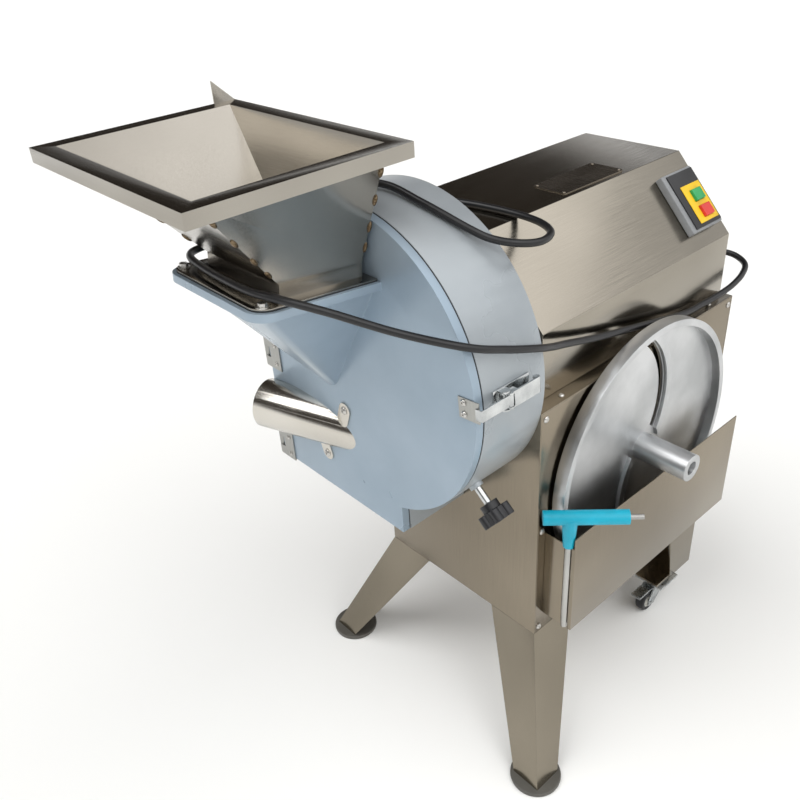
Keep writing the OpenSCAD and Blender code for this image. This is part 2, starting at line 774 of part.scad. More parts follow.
function groove_y(i) = pulley_w / 2 + (i - 0.5) * groove_gap;

// Two groove pulley about the Y axis at x, z
module pulley(x, z, r, bore) translate([x, belt_y, z]) rotate([-90, 0, 0]) difference() {
  cylinder(r = r, h = pulley_w);
  for (i = [0, 1]) translate([0, 0, groove_y(i) - belt_w / 2 - gap]) difference() {
    cylinder(r = r + over, h = belt_w + 2 * gap);
    translate([0, 0, -over]) cylinder(r = r - belt_h - gap, h = belt_w + 2 * gap + 2 * over);
  }
  translate([0, 0, -over]) cylinder(r = bore, h = pulley_w + 2 * over);
}

module main_pulley() color(steel) placed() pulley(drum_x, drum_z, pulley_r, spindle_r + fit);

module motor_pulley() color(steel) placed() {
  pulley(motor_x, motor_z, motor_pulley_r, motor_shaft_r - over);
  rod_y(motor_x, motor_end - 44, motor_z, motor_shaft_r, belt_y + pulley_w + 4 - motor_end + 44);
}

// Bronze bushings in both walls of the gear room and the stud that carries the idler
module knife_bushings() color("#b08d57") placed() {
  walls = [[chamber_back, partition_t], [-back_wall, back_wall]];
  for (p = [[strip_x, strip_z], [cross_x, cross_z]], w = walls)
    difference() {
      rod_y(p[0], w[0], p[1], bush_r, w[1]);
      rod_y(p[0], w[0] - over, p[1], knife_r + fit, w[1] + 2 * over);
    }
  rod_y(idler_x, gear_front - 2, idler_z, knife_r, -gear_front + 2 - back_wall);
}

// Involute gear outline: half tooth angle shrinks from root to tip along the involute
function involute(a) = tan(a) - a * PI / 180;
function half_tooth(r, teeth, slack) = let(
    pitch = gear_m * teeth / 2,
    base = pitch * cos(20),
    a = acos(min(1, base / max(r, base))))
  90 / teeth - slack / pitch * 90 / PI + (involute(20) - involute(a)) * 180 / PI;
function gear_points(teeth) = let(
    pitch = gear_m * teeth / 2,
    radii = [pitch - 1.25 * gear_m, pitch - 0.5 * gear_m, pitch + 0.3 * gear_m, pitch + 0.95 * gear_m],
    slack = 0.6)
  [for (t = [0 : teeth - 1], k = [0 : 7])
    let(r = radii[k < 4 ? k : 7 - k],
      a = 360 * t / teeth + (k < 4 ? -1 : 1) * half_tooth(r, teeth, slack))
    r * [cos(a), sin(a)]];

module gear(teeth, x, z, turn) translate([x, gear_front + gear_w, z]) rotate([90, 0, 0])
  linear_extrude(gear_w) rotate(turn) polygon(gear_points(teeth));

module main_gear() color(steel) placed() difference() {
  gear(main_teeth, drum_x, drum_z, 0);
  rod_y(drum_x, gear_front - over, drum_z, spindle_r + fit, gear_w + 2 * over);
  for (a = [30 : 60 : 330]) {
    p = [drum_x + 70 * cos(a), drum_z + 70 * sin(a)];
    rod_y(p[0], gear_front - over, p[1], 22, gear_w + 2 * over);
  }
}

module idler_gear() color(steel) placed() difference() {
  gear(idler_teeth, idler_x, idler_z, idler_turn);
  rod_y(idler_x, gear_front - over, idler_z, knife_r + fit, gear_w + 2 * over);
  for (a = [0 : 60 : 300]) {
    p = [idler_x + 42 * cos(a), idler_z + 42 * sin(a)];
    rod_y(p[0], gear_front - over, p[1], 12, gear_w + 2 * over);
  }
}

module spindle() color(steel) placed() {
  rod_y(drum_x, blade_front + 8, drum_z, spindle_r, spindle_end - blade_front - 8);
  rod_y(drum_x, blade_front + 2, drum_z, nose_r, 10);
}

// Impeller: back plate, hub and swept paddles
module impeller() color(steel) placed() difference() {
  union() {
    rod_y(drum_x, blade_back - 5, drum_z, impeller_r, 5);
    rod_y(drum_x, blade_front + 12 + gap, drum_z, spindle_r + 16, blade_back - blade_front - 12 - gap);
    for (i = [0 : paddles - 1]) translate([drum_x, 0, drum_z]) rotate([0, 45 + i * 360 / paddles, 0])
      intersection() {
        box([nose_r + over, blade_front, 12], [impeller_r, blade_back - 2, 18]);
        rod_y(0, blade_front - over, 0, impeller_r, blade_back - blade_front);
      }
  }
  rod_y(drum_x, blade_front - over, drum_z, spindle_r + fit, blade_back - blade_front + 2 * over);
}

// Knife shaft with its pinion and the collar that holds the knives on
module knife_shaft(teeth, x, z, turn) {
  rod_y(x, blade_front - 2, z, knife_r, -blade_front + 2 - 1);
  rod_y(x, blade_front - 2, z, knife_r + 4, 4);
  gear(teeth, x, z, turn);
}

module strip_shaft() color(steel) placed() knife_shaft(strip_teeth, strip_x, strip_z, strip_turn);
module cross_shaft() color(steel) placed() knife_shaft(cross_teeth, cross_x, cross_z, cross_turn);

module strip_knives() color(steel) placed() difference() {
  y0 = blade_front + 2 + gap;
  len = blade_back - y0;
  pitch = (len - 2) / (strip_count - 1);
  union() {
    rod_y(strip_x, y0, strip_z, knife_r + 5, len);
    for (i = [0 : strip_count - 1]) rod_y(strip_x, y0 + i * pitch, strip_z, strip_r, 2);
  }
  rod_y(strip_x, y0 - over, strip_z, knife_r + fit, len + 2 * over);
}

module cross_cutter() color(steel) placed() {
  y0 = blade_front + 2 + gap;
  from_front(blade_back, blade_back - y0) translate([cross_x, cross_z]) difference() {
    union() {
      circle(r = knife_r + 6);
      for (i = [0 : cross_count - 1]) rotate(i * 360 / cross_count)
        translate([knife_r + 3, -1.5]) square([cross_r - knife_r - 3, 3]);
    }
    circle(r = knife_r + fit);
  }
}

// Curved gate plate that hangs on its pin before the slicing knife
module slice_gate() color(steel) placed() difference() {
  pin = on_drum(gate_pivot_r, gate_pivot_angle);
  union() {
    from_front(blade_back, blade_back - blade_front) ring_sector(gate_r - gate_t, gate_r, gate_end - 360,
      gate_pivot_angle - 1);
    rod_y(pin[0], blade_front, pin[1], gate_barrel_r, blade_back - blade_front);
  }
  rod_y(pin[0], blade_front - over, pin[1], gate_pin_r + fit, blade_back - blade_front + 2 * over);
}

// Frame along the gate's screw: z runs outwards from the drum's axis
module on_screw() translate([drum_x, knob_y, drum_z]) rotate([0, 90 - knob_angle, 0]) children();

module gate_screw() color(steel) placed() on_screw()
  translate([0, 0, gate_r + gap]) cylinder(r = screw_rod_r, h = knob_start + 18 - gate_r - gap);

// Star knob with five lobes on a round boss
module gate_knob() color(black) placed() on_screw() translate([0, 0, knob_start]) difference() {
  union() {
    cylinder(r = 15, h = 14);
    translate([0, 0, 12]) linear_extrude(20) {
      circle(r = 20);
      for (a = [0 : 72 : 288]) rotate(a) translate([19, 0]) circle(r = 8);
    }
  }
  translate([0, 0, -over]) cylinder(r = screw_rod_r + fit, h = 18 + over + gap);
}

// Rounded slab of the inlet flange, drawn in by inset, from z0 upwards in the flange's frame
module flange_slab(inset, z0, h, back = 0) {
  r = max(flange_corner - inset, 4);
  x0 = flange_x + inset;
  x1 = flange_x + flange_w - inset;
  y0 = -flange_d + inset;
  translate([0, 0, z0]) union() {
    for (x = [x0 + r, x1 - r]) translate([x, y0 + r, 0]) cylinder(r = r, h = h, $fn = 48);
    box([x0, y0 + r, 0], [x1, back, h]);
    box([x0 + r, y0, 0], [x1 - r, y0 + r + over, h]);
  }
}

// Tapered throat from a slab at z0 under the flange down to its round tip, reaching back into the cover
module throat_form(inset, z0, back) hull() {
  on_flange() flange_slab(flange_lip + inset, z0, 1, back);
  translate([throat_tip_x, cover_front + back, throat_tip_z]) rotate([90, 0, 0])
    cylinder(r = throat_tip_r - inset, h = back + 2, $fn = 32);
}

// Cast cover with its feed throat and inlet flange
module front_cover() color(casting) placed() difference() {
  union() {
    from_front(cover_back, cover_t) drum_outline(cover_edge);
    on_flange() flange_slab(0, -flange_t, flange_t, 5);
    throat_form(0, -flange_t + 2, 6);
  }
  on_flange() flange_slab(flange_lip + throat_wall + mouth_lip, -flange_t - 3, flange_t + 4, -mouth_lip);
  throat_form(throat_wall, -flange_t - 2, cover_t + 3);
}

module cover_seal() color(black) placed() from_front(drum_front, seal_t) difference() {
  drum_outline(1);
  drum_outline(8);
  translate([chute_left + drum_wall, chute_z - over])
    square([chute_right - chute_left - 2 * drum_wall, 20]);
}

// Sloped body of the hopper from the collar up to the rim, drawn in by inset at the collar and the rim
module hopper_walls(inset, top, low) hull() {
  on_flange() translate([flange_x + collar_x + inset, -collar_back - collar_d + inset, collar_h - low])
    cube([collar_w - 2 * inset, collar_d - 2 * inset, 1]);
  border = rim_border - sheet + inset;
  translate([rim_x + border, rim_y + border, rim_z + top])
    cube([rim_w - 2 * border, rim_d - 2 * border, 0.5]);
}

// Folded hopper: base plate and collar on the flange, sloped walls, rim with its lip, corner tab
module hopper() color(stainless) placed() {
  cx0 = flange_x + collar_x;
  cy0 = -collar_back - collar_d;
  difference() {
    union() {
      on_flange() flange_slab(base_edge, gasket_t, sheet, -base_back);
      on_flange() box([cx0, cy0, gasket_t + sheet / 2], [cx0 + collar_w, cy0 + collar_d, collar_h]);
      hopper_walls(0.2, -1.2, 3);
      difference() {
        box([rim_x, rim_y, rim_z - rim_lip], [rim_x + rim_w, rim_y + rim_d, rim_z]);
        box([rim_x + sheet, rim_y + sheet, rim_z - rim_lip - over],
          [rim_x + rim_w - sheet, rim_y + rim_d - sheet, rim_z - sheet]);
      }
      from_side(rim_x, sheet) polygon([[rim_y + rim_d - tab_len, rim_z - over],
        [rim_y + rim_d, rim_z - over], [rim_y + rim_d - tab_len, rim_z + tab_h]]);
    }
    on_flange() box([cx0 + sheet, cy0 + sheet, -flange_t],
      [cx0 + collar_w - sheet, cy0 + collar_d - sheet, collar_h - 2]);
    hopper_walls(sheet + 0.3, over, 4);
  }
}

module hopper_gasket() color(black) placed() on_flange() difference() {
  flange_slab(base_edge, 0, gasket_t, -base_back);
  box([flange_x + collar_x, -collar_back - collar_d, -over],
    [flange_x + collar_x + collar_w, -collar_back, gasket_t + over]);
}

// Bolts of the hopper's base, the guard's ears, the hinge leaves and the keeper
module cover_bolts() color(steel) placed() {
  on_flange() for (x = [flange_x + 20, flange_x + flange_w - 18])
    translate([x, -flange_d + 20, gasket_t + sheet]) bolt_head(6.5, 5);
  for (p = ear_places)
    translate([p[0], cover_front - ear_t, p[1]]) rotate([90, 0, 0]) screw_head(7, 4);
  for (z = hinge_zs, s = [-1, 1])
    translate([chute_left + 22, cover_front - leaf_t, z + s * 18]) rotate([90, 0, 0]) screw_head(4.5, 2.5);
  on_drum_side() for (s = [-1, 1])
    translate([-20, cover_front - sheet, s * 9]) rotate([90, 0, 0]) screw_head(5, 3);
}

// Half tube guard, cut flush to the cover, with two bolted ears
module shaft_guard() color(steel) placed() difference() {
  union() {
    translate([guard_x, cover_front - guard_proud, guard_z]) rotate([0, 0, guard_lean]) rotate([0, 90, 0])
      cylinder(r = guard_r, h = guard_len, $fn = 96);
    for (p = ear_places) hull() {
      translate([p[0], cover_front, p[1]]) rotate([90, 0, 0]) cylinder(r = ear_r, h = ear_t, $fn = 32);
      translate([p[0] - 8, cover_front, p[1] + (p[1] > guard_z ? -22 : 22)]) rotate([90, 0, 0])
        cylinder(r = ear_r, h = ear_t, $fn = 32);
    }
  }
  translate([guard_x, cover_front - guard_proud, guard_z]) rotate([0, 0, guard_lean]) rotate([0, 90, 0])
    translate([0, 0, -over]) cylinder(r = guard_r - guard_t, h = guard_len + 2 * over, $fn = 96);
  box([guard_x - 200, cover_front, guard_z - 200], [guard_x + 500, cover_front + 300, guard_z + 200]);
}

// Frame of the spare disc: z runs out from the side panel along the hub
module on_disc() translate([disc_x, disc_y, disc_z]) rotate([0, 90, 0]) rotate(-90) children();

// Curved band from the hub to the rim: part of a ring whose centre lies aside of the disc's
module blade_band(r0, r1) intersection() {
  translate([-blade_arc * 0.72, blade_arc * 0.62]) difference() {
    circle(r = r1, $fn = 128);
    circle(r = r0, $fn = 128);
  }
  difference() {
    circle(r = disc_r - disc_rim_w - 6, $fn = 128);
    circle(r = hub_d / 2 + 14);
  }
  translate([-disc_r / 4, 0]) square([disc_r * 1.3, disc_r]);
}

// Spare slicing disc: rimmed plate, long bored hub, two curved knives with their slots
module spare_disc() color("#b4b7b8") placed() on_disc() difference() {
  union() {
    difference() {
      cylinder(r = disc_r, h = disc_rim_t, $fn = 128);
      translate([0, 0, web_t]) cylinder(r = disc_r - disc_rim_w, h = disc_rim_t, $fn = 128);
    }
    cylinder(d = hub_d, h = hub_len);
    for (a = [0, 180]) rotate(a) linear_extrude(web_t + 7) blade_band(blade_arc + 6, blade_arc + 20);
  }
  translate([0, 0, -over]) cylinder(d = hub_bore, h = hub_len + 2 * over);
  for (a = [0, 180]) rotate(a) translate([0, 0, -over]) linear_extrude(web_t + 2 * over)
    blade_band(blade_arc - 8, blade_arc + 5);
}

// Frame of the T key: x runs along the handle
module on_key() translate([key_x, key_y, 0]) rotate(45) children();

module hex_key() color(steel) placed() on_key() {
  r = key_af / 2 / cos(30);
  translate([0, 0, key_bottom]) cylinder(r = r, h = handle_z - key_bottom, $fn = 6);
  translate([0, 0, handle_z]) rotate([0, 90, 0])
    cylinder(r = r * 0.8, h = handle_len - handle_back + 22, $fn = 6);
}

module key_handle() color("#00b4cc") placed() on_key() difference() {
  union() {
    hull() for (x = [-handle_back + handle_d / 2, handle_len - handle_back - handle_d / 2])
      translate([x, 0, handle_z]) rotate([0, 90, 0])
        translate([0, 0, -handle_d / 2]) cylinder(r = handle_d / 2, h = handle_d, $fn = 32);
    translate([0, 0, key_seat_z + gap])
      cylinder(r1 = stem_foot_r, r2 = stem_top_r, h = handle_z - key_seat_z - gap);
  }
  r = (key_af / 2 + fit) / cos(30);
  translate([0, 0, key_seat_z - over]) cylinder(r = r, h = handle_z - key_seat_z + over + fit, $fn = 6);
  translate([0, 0, handle_z]) rotate([0, 90, 0])
    cylinder(r = key_af / 2 / cos(30) * 0.8 + fit, h = handle_len, $fn = 6);
}

// Caster pieces, drawn for a swivel axis at the origin with the wheel trailing to the front
module caster_fork() difference() {
  union() {
    z1 = caster_h - plate_t4 - gap;
    translate([0, 0, z1 - head_h]) cylinder(r = 22, h = head_h);
    for (s = [-1, 1]) from_side(s * (fork_in + fork_t / 2) - fork_t / 2, fork_t)
      polygon([[20, z1 - head_h], [20, z1], [-20, z1], [-caster_trail - 10, wheel_d / 2 + 8],
        [-caster_trail - 8, wheel_d / 2 - 9], [-caster_trail + 10, wheel_d / 2 - 9]]);
    rod_x(-fork_in - fork_t - 3, -caster_trail, wheel_d / 2, axle_r, 2 * (fork_in + fork_t + 3));
    rod_x(-fork_in - fork_t, pedal_y, pedal_z, pedal_pin_r, 2 * (fork_in + fork_t));
  }
  translate([0, 0, caster_h - plate_t4 - head_h - 4]) cylinder(r = 7 + fit, h = head_h + 8);
}

module caster_wheel() difference() {
  union() {
    rod_x(-wheel_w / 2, -caster_trail, wheel_d / 2, wheel_d / 2, wheel_w);
    rod_x(-wheel_w / 2 - 1, -caster_trail, wheel_d / 2, 9, wheel_w + 2);
  }
  rod_x(-wheel_w, -caster_trail, wheel_d / 2, axle_r + fit, 2 * wheel_w);
}

// Ribbed brake pedal on its pin under the fork head, reaching over the tyre
module caster_pedal() difference() {
  half = fork_in - gap;
  y1 = pedal_y - pedal_len;
  top = caster_h - plate_t4 - head_h - 1;
  union() {
    rod_x(-half, pedal_y, pedal_z, pedal_pin_r + 2.5, 2 * half);
    box([-half, y1, top - 3], [half, pedal_y, top]);
    box([-half, pedal_y - pedal_pin_r - 2, pedal_z], [half, pedal_y - over, top - over]);
    for (i = [0 : 4])
      box([-half, y1 + 2 + i * 7, top - over], [half, y1 + 5 + i * 7, top + 2]);
  }
  rod_x(-wheel_w, pedal_y, pedal_z, pedal_pin_r + fit, 2 * wheel_w);
}

module at_caster(side) translate([side * caster_x, caster_y, 0]) children();
module left_fork() color(steel) placed() at_caster(-1) caster_fork();
module right_fork() color(steel) placed() at_caster(1) caster_fork();
module left_wheel() color(black) placed() at_caster(-1) caster_wheel();
module right_wheel() color(black) placed() at_caster(1) caster_wheel();
module left_pedal() color(steel) placed() at_caster(-1) caster_pedal();
module right_pedal() color(steel) placed() at_caster(1) caster_pedal();

// Cable gland on the hood's back: hexagon, ribbed cap and tapered sleeve
module on_gland() translate([gland_x, cab_d, gland_z]) rotate([-90, 0, 0]) children();

module cable_gland() color(black) placed() on_gland() difference() {
  union() {
    cylinder(r = 13, h = 6, $fn = 6);
    translate([0, 0, 6]) cylinder(r = 11, h = 8);
    translate([0, 0, 14]) cylinder(r1 = 10.5, r2 = cord_d / 2 + 2, h = gland_len - 14);
  }
  translate([0, 0, gland_len - 6]) cylinder(r = cord_d / 2 + fit, h = 12);
}

// Smooth curve through the cord's points: each stretch follows the points on both sides of it
function bend(p, i, t) = let(
    a = p[max(i - 1, 0)],
    b = p[i],
    c = p[i + 1],
    d = p[min(i + 2, len(p) - 1)])
  0.5 * (2 * b + (c - a) * t + (2 * a - 5 * b + 4 * c - d) * t ^ 2 + (3 * b - a - 3 * c + d) * t ^ 3);
cord_line = concat([for (i = [0 : len(cord_route) - 2], t = [0, 0.5]) bend(cord_route, i, t)],
  [cord_route[len(cord_route) - 1]]);
function unit(v) = v / norm(v);
function heading_at(line, i) = unit(line[min(i + 1, len(line) - 1)] - line[max(i - 1, 0)]);

module power_cord() color(black) placed() {
  n = len(cord_line);
  rings = [for (i = [0 : n - 1]) let(dir = heading_at(cord_line, i), u = unit(cross(dir, [0, 0, 1])),
      v = cross(u, dir))
    for (k = [0 : cord_sides - 1]) let(a = 360 * k / cord_sides)
      cord_line[i] + cord_d / 2 * (cos(a) * u + sin(a) * v)];
  sides = [for (i = [0 : n - 2], k = [0 : cord_sides - 1]) let(m = (k + 1) % cord_sides, j = i * cord_sides)
    each [[j + k, j + m, j + cord_sides + m], [j + k, j + cord_sides + m, j + cord_sides + k]]];
  ends = [[for (k = [cord_sides - 1 : -1 : 0]) k],
    [for (k = [0 : cord_sides - 1]) (n - 1) * cord_sides + k]];
  polyhedron(rings, concat(sides, ends));
}

// Moulded plug at the cord's far end with three flat pins
module plug() color(black) placed() {
  last = cord_line[len(cord_line) - 1];
  dir = heading_at(cord_line, len(cord_line) - 1);
  translate(last) rotate([0, 0, atan2(dir[1], dir[0])]) rotate([0, 90, 0]) {
    cylinder(r1 = cord_d / 2 + 0.4, r2 = cord_d / 2 + 1, h = 12);
    translate([0, 0, 12]) cylinder(r1 = cord_d / 2, r2 = 6.4, h = 8);
    translate([0, 0, 19]) intersection() {
      cylinder(r = 19, h = plug_len - 19);
      box([-19, -19, 0], [6.3, 19, plug_len]);
    }
    for (s = [-1, 0, 1]) translate([-6, s * 8, plug_len - 1]) rotate(s * 30)
      box([-3, -0.8, 0], [3, 0.8, 19]);
  }
}

cabinet_body();
side_panel();
rear_panel();
hood();
panel_screws();
front_legs();
foot_pads();
rear_legs();
caster_plates();
disc_pocket();
drum_housing();
drum_hinges();
latch_base();
switch_box();
switch_face();
switch_plate();
slicing_knife();
bearing_stand();
bearing_housing();
spindle_bearings();
motor();
v_belts();
knife_bushings();
cable_gland();
power_cord();
plug();
spindle();
impeller();
main_gear();
main_pulley();
motor_pulley();
idler_gear();
strip_shaft();
strip_knives();
cross_shaft();
cross_cutter();
slice_gate();
gate_screw();
gate_knob();
front_cover();
cover_seal();
hopper();
hopper_gasket();
cover_bolts();
shaft_guard();
cover_hinges();
latch_keeper();
latch_lever();
latch_hook();
start_button();
stop_button();
spare_disc();
hex_key();
key_handle();
left_fork();
left_wheel();
left_pedal();
right_fork();
right_wheel();
right_pedal();
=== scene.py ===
"""Vegetable dicer with a feed hopper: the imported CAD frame, dressed for the photograph's view."""

import json
import math

import bmesh
import bpy
from mathutils import Matrix, Vector


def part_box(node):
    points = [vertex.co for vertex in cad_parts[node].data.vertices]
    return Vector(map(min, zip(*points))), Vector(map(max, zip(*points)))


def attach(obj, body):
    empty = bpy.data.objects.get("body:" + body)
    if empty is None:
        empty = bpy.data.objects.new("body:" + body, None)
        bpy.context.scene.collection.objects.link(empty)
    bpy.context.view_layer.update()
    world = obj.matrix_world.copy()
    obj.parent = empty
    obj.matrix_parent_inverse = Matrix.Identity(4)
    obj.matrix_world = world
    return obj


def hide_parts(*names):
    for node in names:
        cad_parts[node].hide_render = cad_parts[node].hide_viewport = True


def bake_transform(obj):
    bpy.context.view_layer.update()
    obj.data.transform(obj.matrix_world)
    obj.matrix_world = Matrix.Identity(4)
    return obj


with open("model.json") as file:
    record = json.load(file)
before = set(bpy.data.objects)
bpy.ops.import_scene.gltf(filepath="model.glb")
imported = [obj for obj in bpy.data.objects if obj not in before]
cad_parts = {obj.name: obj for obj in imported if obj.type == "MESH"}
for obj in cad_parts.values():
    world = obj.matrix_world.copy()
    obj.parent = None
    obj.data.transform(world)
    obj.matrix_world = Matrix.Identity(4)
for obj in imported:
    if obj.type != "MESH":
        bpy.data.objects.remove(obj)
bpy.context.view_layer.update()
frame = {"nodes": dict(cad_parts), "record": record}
scene = bpy.context.scene
body_of = {n: b for b, ns in frame["record"]["behaviour"]["bodies"].items() for n in ns}

MM = 0.001
MACHINE_ZERO = Vector((-16.9, 47.0, 0.0))
SIDES = ("left", "right")


# Shader steps: short forms of the few node set-ups that the finishes share.
def linear(colour, gain=1.0):
    """Linear RGBA of an sRGB hex colour, made lighter or darker by gain."""
    parts = [int(colour[i:i + 2], 16) / 255 for i in (1, 3, 5)]
    return [gain * (c / 12.92 if c <= 0.04045 else ((c + 0.055) / 1.055) ** 2.4) for c in parts] + [1.0]


def feed(tree, node, inputs):
    """Gives a shader node's sockets their values or links."""
    for name, value in inputs.items():
        if isinstance(value, bpy.types.NodeSocket):
            tree.links.new(value, node.inputs[name])
        else:
            node.inputs[name].default_value = value


def add(tree, kind, inputs=None, **settings):
    """One shader node: settings are its own values, inputs are socket values or links."""
    node = tree.nodes.new("ShaderNode" + kind)
    for name, value in settings.items():
        setattr(node, name, value)
    feed(tree, node, inputs or {})
    return node


def blank_material(name):
    """A new material with its node tree and its Principled shader."""
    material = bpy.data.materials.new(name)
    material.use_nodes = True
    return material, material.node_tree, material.node_tree.nodes["Principled BSDF"]


def surface_place(tree):
    """Where a point of the surface lies on its piece, in metres."""
    return add(tree, "TexCoord").outputs["Object"]


def noise(tree, place, scale, detail, roughness=0.5):
    """Cloudy noise with about scale clouds to the metre."""
    inputs = {"Vector": place, "Scale": scale, "Detail": detail, "Roughness": roughness}
    return add(tree, "TexNoise", inputs).outputs["Fac"]


def remap(tree, value, low, high, start=0.0, end=1.0):
    """A value that runs from low to high while the given one runs from start to end."""
    inputs = {"Value": value, "From Min": start, "From Max": end, "To Min": low, "To Max": high}
    return add(tree, "MapRange", inputs).outputs["Result"]


def tint(tree, factor, start, dark, end, light):
    """A colour that runs from dark to light while factor runs from start to end."""
    node = add(tree, "ValToRGB", {"Fac": factor})
    for stop, place, colour in zip(node.color_ramp.elements, (start, end), (dark, light)):
        stop.position = place
        stop.color = colour
    return node.outputs["Color"]


def bumps(tree, height, strength, distance):
    """Surface normals tipped by a fine relief."""
    inputs = {"Height": height, "Strength": strength, "Distance": distance}
    return add(tree, "Bump", inputs).outputs["Normal"]


# Mesh steps: how the scene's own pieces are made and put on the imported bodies.
SAME_POINT = 2e-6
FLAT_DEG = 0.2


def at(x, y, z):
    """A point of the drawing, in millimetres from the cabinet's front middle, in the frame's metres."""
    return (Vector((x, y, z)) - MACHINE_ZERO) * MM


def smooth(bm):
    """Shades every face of a bmesh as part of a curved surface."""
    for face in bm.faces:
        face.smooth = True


def placed(name, bm):
    """A new object in the scene from a finished bmesh."""
    mesh = bpy.data.meshes.new(name)
    bm.to_mesh(mesh)
    bm.free()
    piece = bpy.data.objects.new(name, mesh)
    scene.collection.objects.link(piece)
    return piece


def made(name, bm, material, body):
    """A new piece from a finished bmesh, riding on a body and taking a slot's finish."""
    piece = placed(name, bm)
    piece.data.materials.append(material)
    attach(piece, body)
    return piece


def soften(node, material, width, segments=3, limit=32):
    """A copy of a CAD node with its edges sharper than limit broken, which stands for the node."""
    bm = bmesh.new()
    bm.from_mesh(frame["nodes"][node].data)
    bmesh.ops.remove_doubles(bm, verts=bm.verts, dist=SAME_POINT)
    bmesh.ops.dissolve_limit(bm, angle_limit=math.radians(FLAT_DEG), verts=bm.verts, edges=bm.edges)
    smooth(bm)
    piece = made(node + "_made", bm, material, body_of[node])
    edges = piece.modifiers.new("edges", "BEVEL")
    edges.width = width
    edges.segments = segments
    edges.profile = 0.5
    edges.limit_method = "ANGLE"
    edges.angle_limit = math.radians(limit)
    edges.harden_normals = True
    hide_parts(node)


def dress(node, material):
    """Gives a CAD node its finish."""
    mesh = frame["nodes"][node].data
    mesh.materials.clear()
    mesh.materials.append(material)


# Camera: where the photograph was taken from, a standing person's view on the machine's right front
# corner. The machine's middle on the floor is the origin, and the front of the cabinet faces -Y.
IMAGE_PX = 800
FOCAL_PX = 837.6
SENSOR_MM = 36.0
EYE = Vector((0.843, -0.851, 1.385))
YAW, PITCH, ROLL = (math.radians(a) for a in (50.08, -32.14, -4.13))

ahead = Vector((-math.sin(YAW) * math.cos(PITCH), math.cos(YAW) * math.cos(PITCH), math.sin(PITCH)))
level = ahead.cross(Vector((0, 0, 1))).normalized()
upright = level.cross(ahead)
right = level * math.cos(ROLL) + upright * math.sin(ROLL)
up = upright * math.cos(ROLL) - level * math.sin(ROLL)
lens = bpy.data.cameras.new("camera")
lens.lens = FOCAL_PX / IMAGE_PX * SENSOR_MM
lens.sensor_width = SENSOR_MM
camera = bpy.data.objects.new("camera", lens)
turn = Matrix((right, up, -ahead)).transposed().to_4x4()
camera.matrix_world = Matrix.Translation(EYE) @ turn
scene.collection.objects.link(camera)
scene.camera = camera
scene.view_settings.view_transform = "Standard"


# Floor and studio: a pale seamless floor in a room with a dark ceiling and one wide bright side behind
# the machine's right shoulder. Flat steel tops mirror the ceiling, and upright sheets mirror the floor.
FLOOR_SIDE = 60.0
FLOOR_COLOUR = "#f7f7f5"
CEILING_COLOUR = "#3b3631"
HORIZON_COLOUR = "#ffffff"
BRIGHT_WAY = (0.72, 0.52, 0.46)
BRIGHT_FROM, BRIGHT_FULL = 0.45, 0.85
CEILING_FULL = 0.2
ROOM_STRENGTH = 0.95
LAMPS = (  # name, strength, spread, heading and elevation in degrees
    ("key", 1.7, 50, 150, 55), ("fill", 1.1, 60, 232, 50), ("back", 0.6, 60, 300, 50))

floor_paint, tree, shader = blank_material("pale_floor")
feed(tree, shader, {"Base Color": linear(FLOOR_COLOUR), "Roughness": 0.9, "Specular IOR Level": 0.1})
bm = bmesh.new()
bmesh.ops.create_grid(bm, x_segments=1, y_segments=1, size=FLOOR_SIDE / 2)
floor = placed("floor", bm)
floor.data.materials.append(floor_paint)

world = bpy.data.worlds.new("studio")
world.use_nodes = True
scene.world = world
tree = world.node_tree
sky_way = add(tree, "TexCoord").outputs["Generated"]
height = add(tree, "SeparateXYZ", {"Vector": sky_way}).outputs["Z"]
rise = remap(tree, height, 0.0, 1.0, 0.0, CEILING_FULL)
facing = add(tree, "VectorMath", {0: sky_way, 1: BRIGHT_WAY}, operation="DOT_PRODUCT").outputs["Value"]
shade = remap(tree, facing, 1.0, 0.0, BRIGHT_FROM, BRIGHT_FULL)
dim = add(tree, "Math", {0: rise, 1: shade}, operation="MULTIPLY").outputs[0]
sky = add(tree, "Mix", {0: dim, 6: linear(HORIZON_COLOUR), 7: linear(CEILING_COLOUR)}, data_type="RGBA")
feed(tree, tree.nodes["Background"], {"Color": sky.outputs[2], "Strength": ROOM_STRENGTH})

for name, strength, spread, heading, elevation in LAMPS:
    lamp = bpy.data.lights.new(name, "SUN")
    lamp.energy = strength
    lamp.angle = math.radians(spread)
    holder = bpy.data.objects.new(name, lamp)
    holder.rotation_euler = (math.radians(90 - elevation), 0, math.radians(heading - 180))
    scene.collection.objects.link(holder)


# Finishes: each is drawn coarse enough to show from where the camera stands.
def soft_black(name, colour, roughness, grain_mm):
    """Moulded black rubber or plastic: a dull sheen broken by a fine grain, with a little dust."""
    material, tree, shader = blank_material(name)
    place = surface_place(tree)
    grain = noise(tree, place, 1 / (grain_mm * MM), 3.0)
    dust = noise(tree, place, 14.0, 4.0)
    feed(tree, shader, {
        "Base Color": tint(tree, dust, 0.35, linear(colour), 0.8, linear(colour, 1.7)),
        "Roughness": remap(tree, grain, roughness - 0.07, roughness + 0.1),
        "Normal": bumps(tree, grain, 0.15, 0.0003),
        "IOR": 1.5})
    return material


